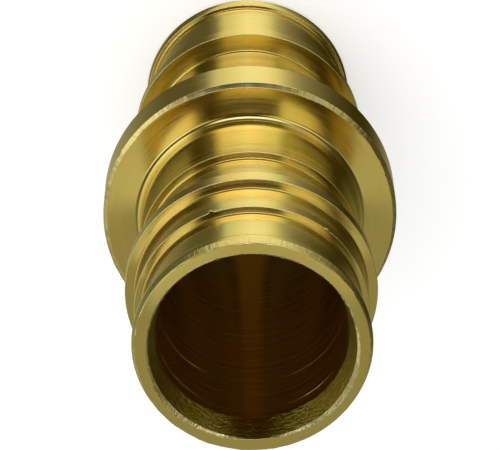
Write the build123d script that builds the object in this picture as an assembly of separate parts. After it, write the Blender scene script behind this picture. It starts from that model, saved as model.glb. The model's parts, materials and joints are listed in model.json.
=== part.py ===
from build123d import *
import os

# Straight crimp coupling for plastic water pipe, turned in one piece from
# brass bar. Two equal tails stand end to end on a stop collar, with one
# waterway through all three. The axis is +Z, the lower end face lies on Z = 0,
# and every size is in millimetres. Along a tail, sizes run from its end face
# towards the collar.

# Waterway
bore_radius = 6.35
mouth_depth = 1.95              # tapered mouth, from the end face inwards
mouth_radius = 6.78             # wide end of the taper
lip_break = 0.13                # 45 degree break between taper and end face

# Nose: a ring whose bevel leads the pipe on, and whose crest falls to the back
nose_face_radius = 7.66         # outer edge of the flat end face
nose_bevel_length = 0.46
nose_radius = 7.84              # where bevel and crest meet
nose_back_radius = 7.72         # back edge of the crest
nose_length = 1.13

# Nose groove: its floor falls slightly away from the nose
nose_groove_radius = 7.45
nose_groove_fall = 0.13
nose_groove_length = 3.84

# Land that leads up to the rib
land_radius = 7.81
land_length = 2.67

# Rib: the widest ring of a tail, a sliding fit in the pipe
rib_radius = 8.50
rib_length = 1.08

# Crimp groove: the pipe wall is squeezed into it behind the rib
crimp_groove_radius = 7.15
crimp_groove_length = 4.88

# Shoulder between crimp groove and collar
shoulder_radius = 7.66
shoulder_length = 5.20
root_fillet = 0.50              # where the shoulder meets the collar

# Collar: stops both pipes
collar_radius = 10.40
collar_length = 3.40
collar_bevel = 0.27

# Places along one tail
nose_groove_start = nose_length
land_start = nose_groove_start + nose_groove_length
rib_start = land_start + land_length
crimp_groove_start = rib_start + rib_length
shoulder_start = crimp_groove_start + crimp_groove_length
tail_length = shoulder_start + shoulder_length
middle = tail_length + collar_length / 2


def waterway_outline():
    """Wall of the waterway from the middle of the collar out to the end face."""
    return Polyline(
        (bore_radius, middle),
        (bore_radius, mouth_depth),
        (mouth_radius, lip_break),
        (mouth_radius + lip_break, 0),
        (nose_face_radius, 0),
    )


def nose_outline():
    """Bevel and crest of the nose, from the end face to its back edge."""
    return Polyline(
        (nose_face_radius, 0),
        (nose_radius, nose_bevel_length),
        (nose_back_radius, nose_length),
    )


def stepped_outline():
    """Groove, land, rib, crimp groove and shoulder, up to the root fillet."""
    return Polyline(
        (nose_back_radius, nose_length),
        (nose_groove_radius, nose_groove_start),
        (nose_groove_radius - nose_groove_fall, land_start),
        (land_radius, land_start),
        (land_radius, rib_start),
        (rib_radius, rib_start),
        (rib_radius, crimp_groove_start),
        (crimp_groove_radius, crimp_groove_start),
        (crimp_groove_radius, shoulder_start),
        (shoulder_radius, shoulder_start),
        (shoulder_radius, tail_length - root_fillet),
    )


def root_outline():
    """Quarter round that leads from the shoulder out onto the collar's face."""
    return RadiusArc(
        (shoulder_radius, tail_length - root_fillet),
        (shoulder_radius + root_fillet, tail_length),
        root_fillet,
    )


def collar_outline():
    """Face, bevel and rim of the collar, then back in along its middle."""
    return Polyline(
        (shoulder_radius + root_fillet, tail_length),
        (collar_radius - collar_bevel, tail_length),
        (collar_radius, tail_length + collar_bevel),
        (collar_radius, middle),
        (bore_radius, middle),
    )


def half_coupling():
    """One tail with its half of the collar, turned about the axis."""
    outline = [
        *waterway_outline().edges(),
        *nose_outline().edges(),
        *stepped_outline().edges(),
        *root_outline().edges(),
        *collar_outline().edges(),
    ]
    section = Plane.XZ * make_face(outline)
    return revolve(section, Axis.Z)


def coupling():
    """The lower half, and a copy turned end over end about the collar's middle."""
    lower = half_coupling()
    across_collar = Axis((0, 0, middle), (1, 0, 0))
    half_turn = 180
    return lower + lower.rotate(across_collar, half_turn)


os.makedirs("parts", exist_ok=True)
export_step(coupling(), "parts/crimp_coupling.step")
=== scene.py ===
import json
from math import cos, exp, pi, radians, sin, tan

import bpy
import numpy as np
from mathutils import Matrix, Vector, noise

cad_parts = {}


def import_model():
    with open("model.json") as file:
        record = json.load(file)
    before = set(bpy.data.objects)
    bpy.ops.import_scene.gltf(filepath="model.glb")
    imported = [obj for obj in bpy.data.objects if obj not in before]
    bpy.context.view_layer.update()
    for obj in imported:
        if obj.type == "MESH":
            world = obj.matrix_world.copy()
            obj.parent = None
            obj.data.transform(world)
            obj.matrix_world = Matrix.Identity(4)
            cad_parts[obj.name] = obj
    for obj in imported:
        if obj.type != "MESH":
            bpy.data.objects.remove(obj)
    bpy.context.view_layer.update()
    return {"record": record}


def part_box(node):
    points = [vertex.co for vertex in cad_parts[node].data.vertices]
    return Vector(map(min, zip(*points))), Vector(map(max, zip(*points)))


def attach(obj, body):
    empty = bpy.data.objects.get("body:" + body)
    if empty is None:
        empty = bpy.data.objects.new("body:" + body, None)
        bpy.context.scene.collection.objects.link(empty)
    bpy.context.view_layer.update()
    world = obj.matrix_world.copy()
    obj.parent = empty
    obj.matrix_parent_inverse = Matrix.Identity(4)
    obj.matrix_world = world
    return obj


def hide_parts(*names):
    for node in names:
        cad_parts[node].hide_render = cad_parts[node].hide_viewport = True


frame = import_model()

# Looks of a straight crimp coupling, turned in one piece from brass bar. It
# stands on one tail. The axis is Z, all lengths are metres, and along a tail
# they run from its end face towards the collar. Azimuths on the piece run from
# +X towards +Y.

MM = 0.001
NODE = "crimp_coupling"

# Sizes that the frame gives

low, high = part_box(NODE)
LENGTH = high.z - low.z
COLLAR_R = high.y

mounts = {m["name"]: m for m in frame["record"]["mounts"]}
waterway, upper_rib = mounts["waterway"], mounts["upper_rib"]
BORE_R = waterway["dims"]["r_mm"] * MM
MOUTH_DEPTH = (LENGTH - waterway["dims"]["length_mm"] * MM) / 2
RIB_R = upper_rib["dims"]["r_mm"] * MM
RIB_LENGTH = upper_rib["dims"]["length_mm"] * MM
RIB_START = LENGTH - upper_rib["pos_m"][2] - RIB_LENGTH / 2
TAIL_LENGTH = mounts["lower_stop"]["pos_m"][2]

# Sizes that the frame does not give, as in the CAD source

HALF_LENGTH = 20.5 * MM
MOUTH_R = 6.78 * MM
LIP_BREAK = 0.13 * MM
NOSE_FACE_R = 7.66 * MM
NOSE_BEVEL_LENGTH = 0.46 * MM
NOSE_R = 7.84 * MM
NOSE_BACK_R = 7.72 * MM
NOSE_LENGTH = 1.13 * MM
NOSE_GROOVE_R = 7.45 * MM
NOSE_GROOVE_FALL = 0.13 * MM
LAND_START = 4.97 * MM
LAND_R = 7.81 * MM
CRIMP_GROOVE_R = 7.15 * MM
SHOULDER_START = 13.60 * MM
SHOULDER_R = 7.66 * MM
ROOT_FILLET = 0.50 * MM
COLLAR_BEVEL = 0.27 * MM

# Sizes of the visual model alone

NOSE_CREST_DEPTH = 0.90 * MM
NOSE_CREST_FALL = 0.015 * MM
LIP_ROUND = 0.03 * MM
COLLAR_ROUND = 0.04 * MM
EDGE_ROUND = 0.05 * MM
INNER_ROUND = 0.10 * MM
CRIMP_ROUND = 0.12 * MM
MOUTH_ROUND = 0.25 * MM
NOSE_ROUND = 0.30 * MM
BURRED_BELOW = 0.09 * MM  # smaller rounds are burred edges

SPOKES = 420
FILLET_STEPS = 10
ROUND_STEPS = 4

# Surface kinds, in the order of the material slots
TURNED, FACED, BEVELLED, BURRED, MOUTH, BORE = range(6)

# Feed marks slope, so a flat face mirrors as if it leaned outward: all flats,
# the collar's outer zone, and the faces at these depths
FACING_LEAN = radians(2)
OUTER_LEAN = radians(1.1)
OUTER_ZONE = 1.0 * MM
STEP_LEANS = ((LAND_START, radians(4.5)), (RIB_START, radians(3.5)), (TAIL_LENGTH, radians(3)))

# Burrs on the upper tail: azimuth, half width and height
LIP_BURRS = (
    (radians(40), radians(16), 0.20 * MM),
    (radians(95), radians(17), -0.10 * MM),
    (radians(148), radians(30), 0.17 * MM),
)
LAND_BURRS = ((radians(-70), radians(1.0), 0.20 * MM), (radians(-129), radians(0.8), 0.10 * MM))
BURR_REACH = 0.22 * MM  # a ring this far past the land's edge keeps a burr's shading short

# Turned edges are never quite even: noise seed, noise scale and reach of their wander
COLLAR_FACE_EDGE = ((1, 9, 0.05 * MM), (2, 60, 0.03 * MM))
COLLAR_BEVEL_EDGE = ((3, 12, 0.05 * MM),)
LIP_EDGE = ((4, 14, 0.07 * MM), (5, 70, 0.07 * MM))
LIP_INWARD_LIMIT = -0.02 * MM
NOSE_FACE_EDGE = ((6, 8, 0.05 * MM),)


# --- Section of the turned piece -------------------------------------------

def corner(before, at, after, radius, steps):
    """Points of a small round that replaces the corner at a point."""
    a = (before - at).normalized()
    b = (after - at).normalized()
    half = a.angle(b) / 2
    reach = min(radius / tan(half), 0.45 * (before - at).length, 0.45 * (after - at).length)
    radius = reach * tan(half)
    centre = at + (a + b).normalized() * (radius / sin(half))
    start, end = at + a * reach - centre, at + b * reach - centre
    turn = start.angle(end)
    points = []
    for k in range(steps + 1):
        w = k / steps
        points.append(centre + (start * sin((1 - w) * turn) + end * sin(w * turn)) / sin(turn))
    return points


def tail_outline():
    """Corners of one tail and half the collar as (radius, depth, round, kind of the face after it)."""
    rib_end = RIB_START + RIB_LENGTH
    return [
        (BORE_R, HALF_LENGTH, 0, BORE),
        (BORE_R, MOUTH_DEPTH, MOUTH_ROUND, MOUTH),
        (MOUTH_R, LIP_BREAK, LIP_ROUND, BURRED),
        (MOUTH_R + LIP_BREAK, 0, LIP_ROUND, FACED),
        (NOSE_FACE_R, 0, INNER_ROUND, BEVELLED),
        (NOSE_R, NOSE_BEVEL_LENGTH, NOSE_ROUND, TURNED),
        (NOSE_R - NOSE_CREST_FALL, NOSE_CREST_DEPTH, NOSE_ROUND, TURNED),
        (NOSE_BACK_R, NOSE_LENGTH, EDGE_ROUND, FACED),
        (NOSE_GROOVE_R, NOSE_LENGTH, INNER_ROUND, TURNED),
        (NOSE_GROOVE_R - NOSE_GROOVE_FALL, LAND_START, INNER_ROUND, FACED),
        (LAND_R, LAND_START, EDGE_ROUND, TURNED),
        (LAND_R, LAND_START + BURR_REACH, 0, TURNED),
        (LAND_R, RIB_START, INNER_ROUND, FACED),
        (RIB_R, RIB_START, EDGE_ROUND, TURNED),
        (RIB_R, rib_end, EDGE_ROUND, FACED),
        (CRIMP_GROOVE_R, rib_end, CRIMP_ROUND, TURNED),
        (CRIMP_GROOVE_R, SHOULDER_START, CRIMP_ROUND, FACED),
        (SHOULDER_R, SHOULDER_START, EDGE_ROUND, TURNED),
        (SHOULDER_R, TAIL_LENGTH, ROOT_FILLET, FACED),
        (COLLAR_R - COLLAR_BEVEL, TAIL_LENGTH, COLLAR_ROUND, BEVELLED),
        (COLLAR_R, TAIL_LENGTH + COLLAR_BEVEL, EDGE_ROUND, TURNED),
        (COLLAR_R, HALF_LENGTH, 0, TURNED),
    ]


def tail_section():
    """The tail's outline with its corners rounded, as (radius, depth, kind of the strip after it)."""
    corners = tail_outline()
    points = []
    for i, (r, t, fillet, kind) in enumerate(corners):
        if fillet == 0:
            points.append((r, t, kind))
            continue
        before = Vector(corners[i - 1][:2])
        after = Vector(corners[i + 1][:2])
        steps = FILLET_STEPS if fillet >= ROOT_FILLET else ROUND_STEPS
        arc = corner(before, Vector((r, t)), after, fillet, steps)
        for k, p in enumerate(arc):
            if k == steps:
                strip = kind
            elif fillet < BURRED_BELOW:
                strip = MOUTH if kind == MOUTH else BURRED
            else:
                strip = corners[i - 1][3] if 2 * k < steps - 1 else kind
            points.append((p.x, p.y, strip))
    return points


def wander(azimuth, seed, rows):
    """Smooth noise round the axis, the same each run."""
    return sum(
        noise.fractal(Vector((cos(azimuth) * scale, sin(azimuth) * scale, seed + row)), 0.7, 2.2, 3)
        * reach
        for row, scale, reach in rows
    )


def swell(azimuth, centre, width, height):
    """A smooth bump of that height round one azimuth."""
    away = (azimuth - centre + pi) % (2 * pi) - pi
    return height * exp(-(away / width) ** 2)


def uneven(azimuth, r, z, upper):
    """The radius and height of a point of the section, moved where an edge wanders or has a burr."""

    def near(radius, depth, radius_within=0.06 * MM, depth_within=0.06 * MM):
        return (abs(r - radius) < radius_within
                and abs(min(z, LENGTH - z) - depth) < depth_within)

    seed = 20.0 if upper else 10.0
    if near(COLLAR_R - COLLAR_BEVEL, TAIL_LENGTH):
        r += wander(azimuth, seed, COLLAR_FACE_EDGE)
    elif near(COLLAR_R, TAIL_LENGTH + COLLAR_BEVEL, 0.01 * MM, 0.08 * MM):
        z += (-1 if upper else 1) * wander(azimuth, seed, COLLAR_BEVEL_EDGE)
    elif near(MOUTH_R + LIP_BREAK, 0, 0.05 * MM, 0.02 * MM):
        r += sum(swell(azimuth, *burr) for burr in LIP_BURRS if upper)
        r += max(LIP_INWARD_LIMIT, wander(azimuth, seed, LIP_EDGE))
    elif near(LAND_R, LAND_START) and upper:
        r += sum(swell(azimuth, *burr) for burr in LAND_BURRS)
    elif near(NOSE_FACE_R, 0):
        r += wander(azimuth, seed, NOSE_FACE_EDGE)
    return r, z


def turned_mesh():
    """The section turned round the axis: the lower tail and half collar, then the same mirrored."""
    tail = tail_section()
    kinds = [kind for r, t, kind in tail[:-1]]
    kinds += kinds[::-1]
    section = [(r, t, False) for r, t, kind in tail]
    section += [(r, LENGTH - t, True) for r, t, kind in reversed(tail)][1:-1]
    count = len(section)

    vertices, faces, zones = [], [], []
    for s in range(SPOKES):
        a = 2 * pi * s / SPOKES
        for r, z, upper in section:
            r, z = uneven(a, r, z, upper)
            vertices.append((r * cos(a), r * sin(a), z))
    for s in range(SPOKES):
        here, there = s * count, (s + 1) % SPOKES * count
        for i in range(count):
            j = (i + 1) % count
            faces.append((here + i, there + i, there + j, here + j))
            zones.append(kinds[i])

    mesh = bpy.data.meshes.new("turned_coupling")
    mesh.from_pydata(vertices, [], faces)
    mesh.polygons.foreach_set("material_index", zones)
    mesh.polygons.foreach_set("use_smooth", [True] * len(faces))
    mesh.update()
    grid = np.array(vertices).reshape(SPOKES, count, 3)
    normals = lean(grid, wide_face_normals(grid))
    mesh.normals_split_custom_set_from_vertices(normals.reshape(-1, 3))
    return mesh


def lean(grid, normals):
    """The normals of flat faces leaned outward, as their sloping feed marks are."""
    outward = grid * (1, 1, 0)
    outward /= np.linalg.norm(outward, axis=2, keepdims=True)
    flat = np.clip((np.abs(normals[..., 2:]) - 0.97) / 0.02, 0, 1)
    radius = np.hypot(grid[..., 0:1], grid[..., 1:2])
    depth = np.minimum(grid[..., 2:], LENGTH - grid[..., 2:])
    slope = np.full_like(radius, tan(FACING_LEAN))
    for at, angle in STEP_LEANS:
        slope[np.abs(depth - at) < 0.1 * MM] = tan(angle)
    slope[radius > COLLAR_R - OUTER_ZONE] = tan(OUTER_LEAN)
    leaned = normals + outward * flat * slope
    return leaned / np.linalg.norm(leaned, axis=2, keepdims=True)


def wide_face_normals(grid):
    """A normal for each vertex of the closed grid, led by the widest face, so that flats stay flat."""
    along = np.roll(grid, -1, axis=1)
    across = np.roll(grid, -1, axis=0)
    far = np.roll(along, -1, axis=0)
    area = np.cross(far - grid, along - across) / 2
    area *= np.linalg.norm(area, axis=2, keepdims=True)
    before = np.roll(area, 1, axis=0)
    total = area + before + np.roll(area, 1, axis=1) + np.roll(before, 1, axis=1)
    total /= np.linalg.norm(total, axis=2, keepdims=True)
    return total


# --- Materials ---------------------------------------------------------------

class Nodes:
    """Short names for making nodes and joining them."""

    def __init__(self, tree):
        self.tree = tree
        tree.nodes.clear()

    def new(self, kind, **values):
        node = self.tree.nodes.new(kind)
        for name, value in values.items():
            setattr(node, name, value)
        return node

    def link(self, source, target):
        self.tree.links.new(source, target)

    def put(self, socket, value):
        if isinstance(value, bpy.types.NodeSocket):
            self.link(value, socket)
        else:
            socket.default_value = value

    def math(self, operation, a, b=0.0):
        node = self.new("ShaderNodeMath", operation=operation)
        for socket, value in zip(node.inputs, (a, b)):
            self.put(socket, value)
        return node.outputs[0]

    def spread(self, value, from_min, from_max, to_min, to_max, smooth=False):
        node = self.new("ShaderNodeMapRange")
        node.interpolation_type = "SMOOTHSTEP" if smooth else "LINEAR"
        for socket, v in zip(node.inputs, (value, from_min, from_max, to_min, to_max)):
            self.put(socket, v)
        return node.outputs[0]

    def parts(self, vector):
        node = self.new("ShaderNodeSeparateXYZ")
        self.link(vector, node.inputs[0])
        return node.outputs

    def vector(self, *values):
        node = self.new("ShaderNodeCombineXYZ")
        for socket, value in zip(node.inputs, values):
            self.put(socket, value)
        return node.outputs[0]

    def mix(self, factor, a, b):
        node = self.new("ShaderNodeMix", data_type="RGBA")
        self.put(node.inputs[0], factor)
        self.put(node.inputs[6], a)
        self.put(node.inputs[7], b)
        return node.outputs[2]

    def noise(self, dimensions, scale, detail, roughness, vector=None, w=None):
        node = self.new("ShaderNodeTexNoise", noise_dimensions=dimensions)
        if vector is not None:
            self.put(node.inputs["Vector"], vector)
        if w is not None:
            self.put(node.inputs["W"], w)
        node.inputs["Scale"].default_value = scale
        node.inputs["Detail"].default_value = detail
        node.inputs["Roughness"].default_value = roughness
        return node.outputs[0]

    def ramp(self, factor, stops):
        node = self.new("ShaderNodeValToRGB")
        self.put(node.inputs[0], factor)
        elements = node.color_ramp.elements
        while len(elements) < len(stops):
            elements.new(0.5)
        for element, (place, colour) in zip(elements, stops):
            element.position = place
            element.color = (*colour, 1)
        return node.outputs[0]

    def bump(self, height, distance, under=None, strength=1.0):
        node = self.new("ShaderNodeBump")
        node.inputs["Strength"].default_value = strength
        node.inputs["Distance"].default_value = distance
        self.link(height, node.inputs["Height"])
        if under is not None:
            self.link(under, node.inputs["Normal"])
        return node.outputs[0]


BRASS = (0.84, 0.705, 0.33)
BEVEL_BRASS = (0.84, 0.75, 0.44)
# Pale colour of the small burred edge rounds: a painted highlight for the bright glints along the
# edges
BURR_GLINT_BRASS = (0.97, 0.91, 0.66)
# Darker colour of the mouth's taper: painted shade of that recess
MOUTH_SHADE_BRASS = (0.58, 0.47, 0.11)
BORE_BRASS = (0.80, 0.56, 0.12)

# Tints of a finish: patches redder and greener, tool marks duller, bands brighter
WARM = (1.03, 0.94, 0.80)
GREEN = (0.95, 0.99, 0.92)
DULL = 0.72
BRIGHT = 1.12

# Noise scale, detail and roughness
DRIFT_NOISE = (1.6, 3, 0.55)
PATCH_NOISE = (420.0, 3, 0.6)
GRAIN_NOISE = (9000.0, 2, 0.6)
CHIP_NOISE = (1.0, 3, 0.6)
MARK_DETAIL = (2, 0.5)

COARSE_MARKS = 0.22  # coarse tool marks for each fine one
FEED_SLANT = 1.37  # tool marks follow height and this much of the radius, so flats have them too
DRIFT_PER_METRE = 900.0
GRAIN_DEPTH = 0.002 * MM
GRAIN_STRENGTH = 0.25
ANISOTROPIC_TURN = 0.25  # blurs reflections along the axis
RIDGE_HALF_WIDTH = 0.09 * MM
RIDGE_HEIGHT = 0.075 * MM
RIDGE_DEPTHS = (3.1 * MM, 6.7 * MM)


def brass(name, colour, roughness, anisotropy, rings, ring_depth, cross=0.0, cross_depth=0.0,
          cross_fineness=0.45, ridges=(), two_sided=False):
    """Cut brass. Rings is the way from one tool mark to the next, cross is the pitch of marks
    across them, and ridges are the depths of single fine ridges from either end. Two-sided:
    the cross marks fade half way between +X and -X."""
    material = bpy.data.materials.new(name)
    material.use_nodes = True
    n = Nodes(material.node_tree)
    out = n.new("ShaderNodeOutputMaterial")
    shader = n.new("ShaderNodeBsdfPrincipled")
    n.link(shader.outputs[0], out.inputs[0])
    place = n.new("ShaderNodeTexCoord").outputs["Object"]
    x, y, z = n.parts(place)
    radius = n.math("SQRT", n.math("ADD", n.math("MULTIPLY", x, x), n.math("MULTIPLY", y, y)))
    along = n.math("ADD", z, n.math("MULTIPLY", radius, FEED_SLANT))
    away = n.math("DIVIDE", n.math("ABSOLUTE", x), radius)
    fine = n.noise("1D", 1 / rings, *MARK_DETAIL, w=along)
    coarse = n.noise("1D", COARSE_MARKS / rings, *MARK_DETAIL, w=along)
    around = n.vector(n.math("DIVIDE", x, radius), n.math("DIVIDE", y, radius),
                      n.math("MULTIPLY", along, DRIFT_PER_METRE))
    drift = n.noise("3D", *DRIFT_NOISE, vector=around)
    patch = n.noise("3D", *PATCH_NOISE, vector=place)
    grain = n.noise("3D", *GRAIN_NOISE, vector=place)

    # Colour: a little redder or greener in patches, duller in the deeper tool marks
    warm, green = (tuple(c * k for c, k in zip(colour, tint)) for tint in (WARM, GREEN))
    tint = n.mix(n.spread(patch, 0.35, 0.65, 0.0, 1.0), (*green, 1), (*warm, 1))
    tint = n.mix(n.spread(fine, 0.30, 0.75, 0.0, 0.22), tint, (*(c * DULL for c in colour), 1))
    tint = n.mix(n.spread(drift, 0.35, 0.7, 0.0, 0.18), tint, (*(c * BRIGHT for c in colour), 1))
    n.link(tint, shader.inputs["Base Color"])
    shader.inputs["Metallic"].default_value = 1.0
    rough = n.math("ADD", n.spread(drift, 0.3, 0.7, roughness * 0.82, roughness * 1.12),
                   n.spread(coarse, 0.3, 0.7, -0.03, 0.04))
    n.link(rough, shader.inputs["Roughness"])
    shader.inputs["Anisotropic"].default_value = anisotropy
    shader.inputs["Anisotropic Rotation"].default_value = ANISOTROPIC_TURN

    # Relief, one layer on the other: tool marks, marks across them, ridges, grain
    marks = n.math("ADD", n.math("MULTIPLY", fine, 0.7), n.math("MULTIPLY", coarse, 0.6))
    relief = n.bump(marks, ring_depth)
    if cross:
        ticks = n.vector(n.math("MULTIPLY", n.math("ARCTAN2", y, x), BORE_R / cross),
                         n.math("MULTIPLY", along, cross_fineness / cross))
        chips = n.noise("2D", *CHIP_NOISE, vector=ticks)
        if two_sided:
            chips = n.math("MULTIPLY", chips, n.spread(away, 0.1, 0.5, 0.3, 1.0))
        relief = n.bump(chips, cross_depth, relief)
    if ridges:
        depth = n.math("MINIMUM", z, n.math("SUBTRACT", LENGTH, z))
        crests = [n.spread(n.math("ABSOLUTE", n.math("SUBTRACT", depth, at)),
                           0.0, RIDGE_HALF_WIDTH, 1.0, 0.0) for at in ridges]
        worn = n.math("MULTIPLY", n.spread(drift, 0.36, 0.52, 0.2, 1.0),
                      n.spread(away, 0.2, 0.5, 0.1, 1.0))
        relief = n.bump(n.math("MULTIPLY", n.math("ADD", *crests), worn), RIDGE_HEIGHT, relief)
    relief = n.bump(grain, GRAIN_DEPTH, relief, GRAIN_STRENGTH)
    n.link(relief, shader.inputs["Normal"])
    return material


def coupling():
    """The turned piece with its six finishes, in place of the CAD node."""
    piece = bpy.data.objects.new("turned_coupling", turned_mesh())
    bpy.context.scene.collection.objects.link(piece)
    for material in (
        brass("turned_brass", BRASS, 0.10, 1.0, rings=0.09 * MM, ring_depth=0.0010 * MM),
        brass("faced_brass", BRASS, 0.08, 1.0, rings=0.10 * MM, ring_depth=0.0007 * MM),
        brass("bevelled_brass", BEVEL_BRASS, 0.26, 0.2, rings=0.10 * MM, ring_depth=0.01 * MM,
              cross=0.16 * MM, cross_depth=0.03 * MM),
        # burred edge rounds: their pale colour is a painted highlight, the edges' glints
        brass("burred_brass", BURR_GLINT_BRASS, 0.16, 0.2, rings=0.12 * MM, ring_depth=0.01 * MM,
              cross=0.14 * MM, cross_depth=0.03 * MM),
        # mouth's taper: its darker colour is painted shade of the recess
        brass("mouth_brass", MOUTH_SHADE_BRASS, 0.20, 0.2, rings=0.20 * MM, ring_depth=0.03 * MM,
              cross=0.50 * MM, cross_depth=0.14 * MM, cross_fineness=3.0, two_sided=True),
        brass("bore_brass", BORE_BRASS, 0.16, 1.0, rings=0.10 * MM, ring_depth=0.0008 * MM,
              ridges=RIDGE_DEPTHS),
    ):
        piece.data.materials.append(material)
    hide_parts(NODE)
    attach(piece, "root")
    return piece


# --- Stage, light and camera -------------------------------------------------

FLOOR_REACH = 3.0
FLOOR_COLOUR = (0.86, 0.86, 0.86, 1)
FLOOR_GLOW = 0.28  # for the camera alone, so that the floor is as pale as the background
DISC_SIDES = 64
DISC_DEPTH = 0.02 * MM

# Painted light of the disc under the bore, and where it changes from -X to +X: a dim glow paints the
# bore's shade, and glowing strips are mirrored as painted streaks in the bore
PAINTED_BORE_SHADE = (0.013, 0.0115, 0.003)
PAINTED_BRIGHT_STREAK = (0.065, 0.036, 0.006)
PAINTED_SIDE_STREAK = (0.040, 0.024, 0.005)
PAINTED_BORE_STREAKS = (
    (0.08, PAINTED_BORE_SHADE), (0.14, PAINTED_SIDE_STREAK), (0.20, PAINTED_SIDE_STREAK), (0.26, PAINTED_BORE_SHADE),
    (0.32, PAINTED_BORE_SHADE), (0.39, PAINTED_BRIGHT_STREAK), (0.61, PAINTED_BRIGHT_STREAK), (0.68, PAINTED_BORE_SHADE),
    (0.74, PAINTED_BORE_SHADE), (0.80, PAINTED_SIDE_STREAK), (0.86, PAINTED_SIDE_STREAK), (0.92, PAINTED_BORE_SHADE),
)


def stage_piece(name, points, material_name):
    """A flat piece of the stage, with the nodes and the output of its still empty material."""
    mesh = bpy.data.meshes.new(name)
    mesh.from_pydata(points, [], [range(len(points))])
    piece = bpy.data.objects.new(name, mesh)
    bpy.context.scene.collection.objects.link(piece)
    material = bpy.data.materials.new(material_name)
    material.use_nodes = True
    mesh.materials.append(material)
    n = Nodes(material.node_tree)
    return piece, n, n.new("ShaderNodeOutputMaterial")


def floor():
    """Pale floor, which the brass does not mirror."""
    a = FLOOR_REACH
    square = [(-a, -a, 0), (a, -a, 0), (a, a, 0), (-a, a, 0)]
    piece, n, out = stage_piece("floor", square, "pale_floor")
    matt = n.new("ShaderNodeBsdfDiffuse")
    matt.inputs["Color"].default_value = FLOOR_COLOUR
    glow = n.new("ShaderNodeEmission")
    seen = n.new("ShaderNodeLightPath").outputs["Is Camera Ray"]
    n.link(n.math("MULTIPLY", seen, FLOOR_GLOW), glow.inputs["Strength"])
    add = n.new("ShaderNodeAddShader")
    n.link(matt.outputs[0], add.inputs[0])
    n.link(glow.outputs[0], add.inputs[1])
    n.link(add.outputs[0], out.inputs[0])
    piece.visible_glossy = False


def painted_bore_reflection_disc():
    """Dim glowing disc on the floor under the bore, though it is no lamp. Only the brass mirrors it:
    its glow paints the bore's shade, and its strips along Y are painted reflections, the bore's
    streaks."""
    ring = []
    for k in range(DISC_SIDES):
        a = 2 * pi * k / DISC_SIDES
        ring.append((NOSE_FACE_R * cos(a), NOSE_FACE_R * sin(a), -DISC_DEPTH))
    piece, n, out = stage_piece("contact_shade", ring, "shade")
    x = n.parts(n.new("ShaderNodeTexCoord").outputs["Object"])[0]
    glow = n.new("ShaderNodeEmission")
    n.link(n.ramp(n.spread(x, -BORE_R, BORE_R, 0.0, 1.0), PAINTED_BORE_STREAKS), glow.inputs["Color"])
    n.link(glow.outputs[0], out.inputs[0])
    piece.visible_camera = False
    piece.visible_diffuse = False
    piece.visible_shadow = False


# Brightness of the studio by degrees round the part, from the camera's side
# towards -X: close round the zenith, lower, near the horizon, and below it
TOP = (
    (-180, 0.49), (-170, 0.56), (-158, 0.62), (-140, 0.90), (-120, 1.15), (-96, 1.20),
    (-80, 1.15), (-73, 0.90), (-66, 0.04), (-40, 0.02), (36, 0.02), (45, 0.90), (68, 0.98),
    (86, 0.80), (96, 0.50), (105, 0.08), (114, 0.10), (136, 0.42), (156, 0.48), (180, 0.48),
)
SIDES = (
    (-180, 0.34), (-150, 0.30), (-128, 0.16), (-100, 0.09), (-72, 0.05), (-50, 0.07),
    (-38, 0.20), (-27, 1.30), (0, 1.80), (26, 1.30), (38, 0.40), (60, 0.10), (82, 0.06),
    (94, 0.04), (106, 0.04), (125, 0.14), (150, 0.30), (180, 0.34),
)
HORIZON = (
    (-180, 0.32), (-120, 0.60), (-84, 1.00), (-65, 1.25), (-52, 1.15), (-44, 0.40),
    (-36, 0.10), (-20, 0.06), (0, 0.10), (24, 0.16), (32, 0.50), (52, 0.58), (60, 0.30),
    (68, 0.08), (84, 0.04), (99, 0.12), (125, 0.28), (180, 0.32),
)
BELOW = (
    (-180, 0.60), (-168, 0.52), (-144, 0.37), (-120, 0.30), (-96, 0.19), (-72, 0.11),
    (-46, 0.11), (-36, 0.23), (-27, 0.72), (-14, 0.92), (0, 1.08), (14, 1.04), (24, 0.86),
    (36, 0.42), (48, 0.23), (72, 0.09), (96, 0.035), (110, 0.035), (122, 0.09), (144, 0.25),
    (168, 0.42), (180, 0.60),
)

# Heights (z of the direction) over which one list gives way to the one above it
HORIZON_FROM = (-0.08, 0.08)
SIDES_FROM = (0.54, 0.62)
TOP_FROM = (0.887, 0.899)

# A patch round the zenith, on the side away from the camera
PATCH_COLOUR = (0.42, 0.39, 0.28, 1)
PATCH_FROM_HEIGHT = (0.95, 0.99)
PATCH_FROM_Y = (-0.04, 0.02)

DIFFUSE_STRENGTH = 0.8


def lit(level):
    """Colour of a studio part of that brightness: dim parts are warm, the brightest near white."""
    past_dim = min(1.0, max(0.0, (level - 0.03) / 0.12))
    past_white = max(0.0, level - 0.9)
    green = min(1, 0.78 + 0.17 * past_dim + 0.1 * past_white)
    blue = min(1, 0.05 + 0.47 * past_dim + 0.6 * past_white)
    return (level, level * green, level * blue)


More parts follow.
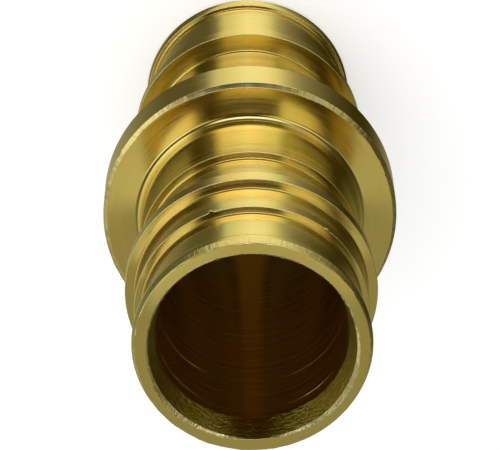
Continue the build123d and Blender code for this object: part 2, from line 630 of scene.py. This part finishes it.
def world():
    """White for the camera, soft white for diffuse light, and a banded studio for reflections."""
    made = bpy.data.worlds.new("studio")
    bpy.context.scene.world = made
    made.use_nodes = True
    n = Nodes(made.node_tree)
    out = n.new("ShaderNodeOutputWorld")

    def step(value, edge):
        return n.spread(value, *edge, 0.0, 1.0, smooth=True)

    x, y, z = n.parts(n.new("ShaderNodeTexCoord").outputs["Generated"])
    turn = n.math("ARCTAN2", n.math("MULTIPLY", x, -1.0), n.math("MULTIPLY", y, -1.0))
    place = n.spread(turn, -pi, pi, 0.0, 1.0)
    top, sides, horizon, below = (
        n.ramp(place, [((a + 180) / 360, lit(level)) for a, level in row])
        for row in (TOP, SIDES, HORIZON, BELOW)
    )
    patch = n.math("MULTIPLY", step(z, PATCH_FROM_HEIGHT), step(y, PATCH_FROM_Y))
    seen = n.mix(step(z, TOP_FROM), sides, n.mix(patch, top, PATCH_COLOUR))
    seen = n.mix(step(z, SIDES_FROM), horizon, seen)
    seen = n.mix(step(z, HORIZON_FROM), below, seen)

    path = n.new("ShaderNodeLightPath")
    studio = n.new("ShaderNodeBackground")
    n.link(seen, studio.inputs["Color"])
    plain = n.new("ShaderNodeBackground")
    plain.inputs["Color"].default_value = (1, 1, 1, 1)
    n.link(n.spread(path.outputs["Is Camera Ray"], 0.0, 1.0, DIFFUSE_STRENGTH, 1.0),
           plain.inputs["Strength"])
    mixed = n.new("ShaderNodeMixShader")
    n.link(path.outputs["Is Glossy Ray"], mixed.inputs[0])
    n.link(plain.outputs[0], mixed.inputs[1])
    n.link(studio.outputs[0], mixed.inputs[2])
    n.link(mixed.outputs[0], out.inputs[0])


def lamp(name, place, target, size, power):
    data = bpy.data.lights.new(name, "AREA")
    data.shape, data.size, data.energy = "DISK", size, power
    piece = bpy.data.objects.new(name, data)
    piece.location = place
    aim = Vector(target) - Vector(place)
    piece.rotation_euler = aim.to_track_quat("-Z", "Y").to_euler()
    piece.visible_glossy = False
    bpy.context.scene.collection.objects.link(piece)


CAMERA_LENS = 190.8
CAMERA_PLACE = Vector((1.80, -84.05, 190.1)) * MM
CAMERA_FORWARD = Vector((-0.0096, 0.4498, -0.8930))
CAMERA_UP = Vector((0.0, -0.8931, -0.4498))


def camera():
    """The photograph's view: from above, on the -Y side, with -Y upwards in the picture."""
    data = bpy.data.cameras.new("camera")
    data.sensor_width, data.lens = 36.0, CAMERA_LENS
    data.clip_start, data.clip_end = 0.01, 10
    piece = bpy.data.objects.new("camera", data)
    forward = CAMERA_FORWARD.normalized()
    right = forward.cross(CAMERA_UP).normalized()
    up = right.cross(forward)
    turn = Matrix((right, up, -forward)).transposed().to_4x4()
    piece.matrix_world = Matrix.Translation(CAMERA_PLACE) @ turn
    bpy.context.scene.collection.objects.link(piece)
    bpy.context.scene.camera = piece


camera()
world()
floor()
painted_bore_reflection_disc()
coupling()
lamp("soft_lamp", place=(0.15, -0.25, 0.6), target=(0, 0, 0.02), size=0.5, power=1.2)
bpy.context.scene.view_settings.view_transform = "Standard"
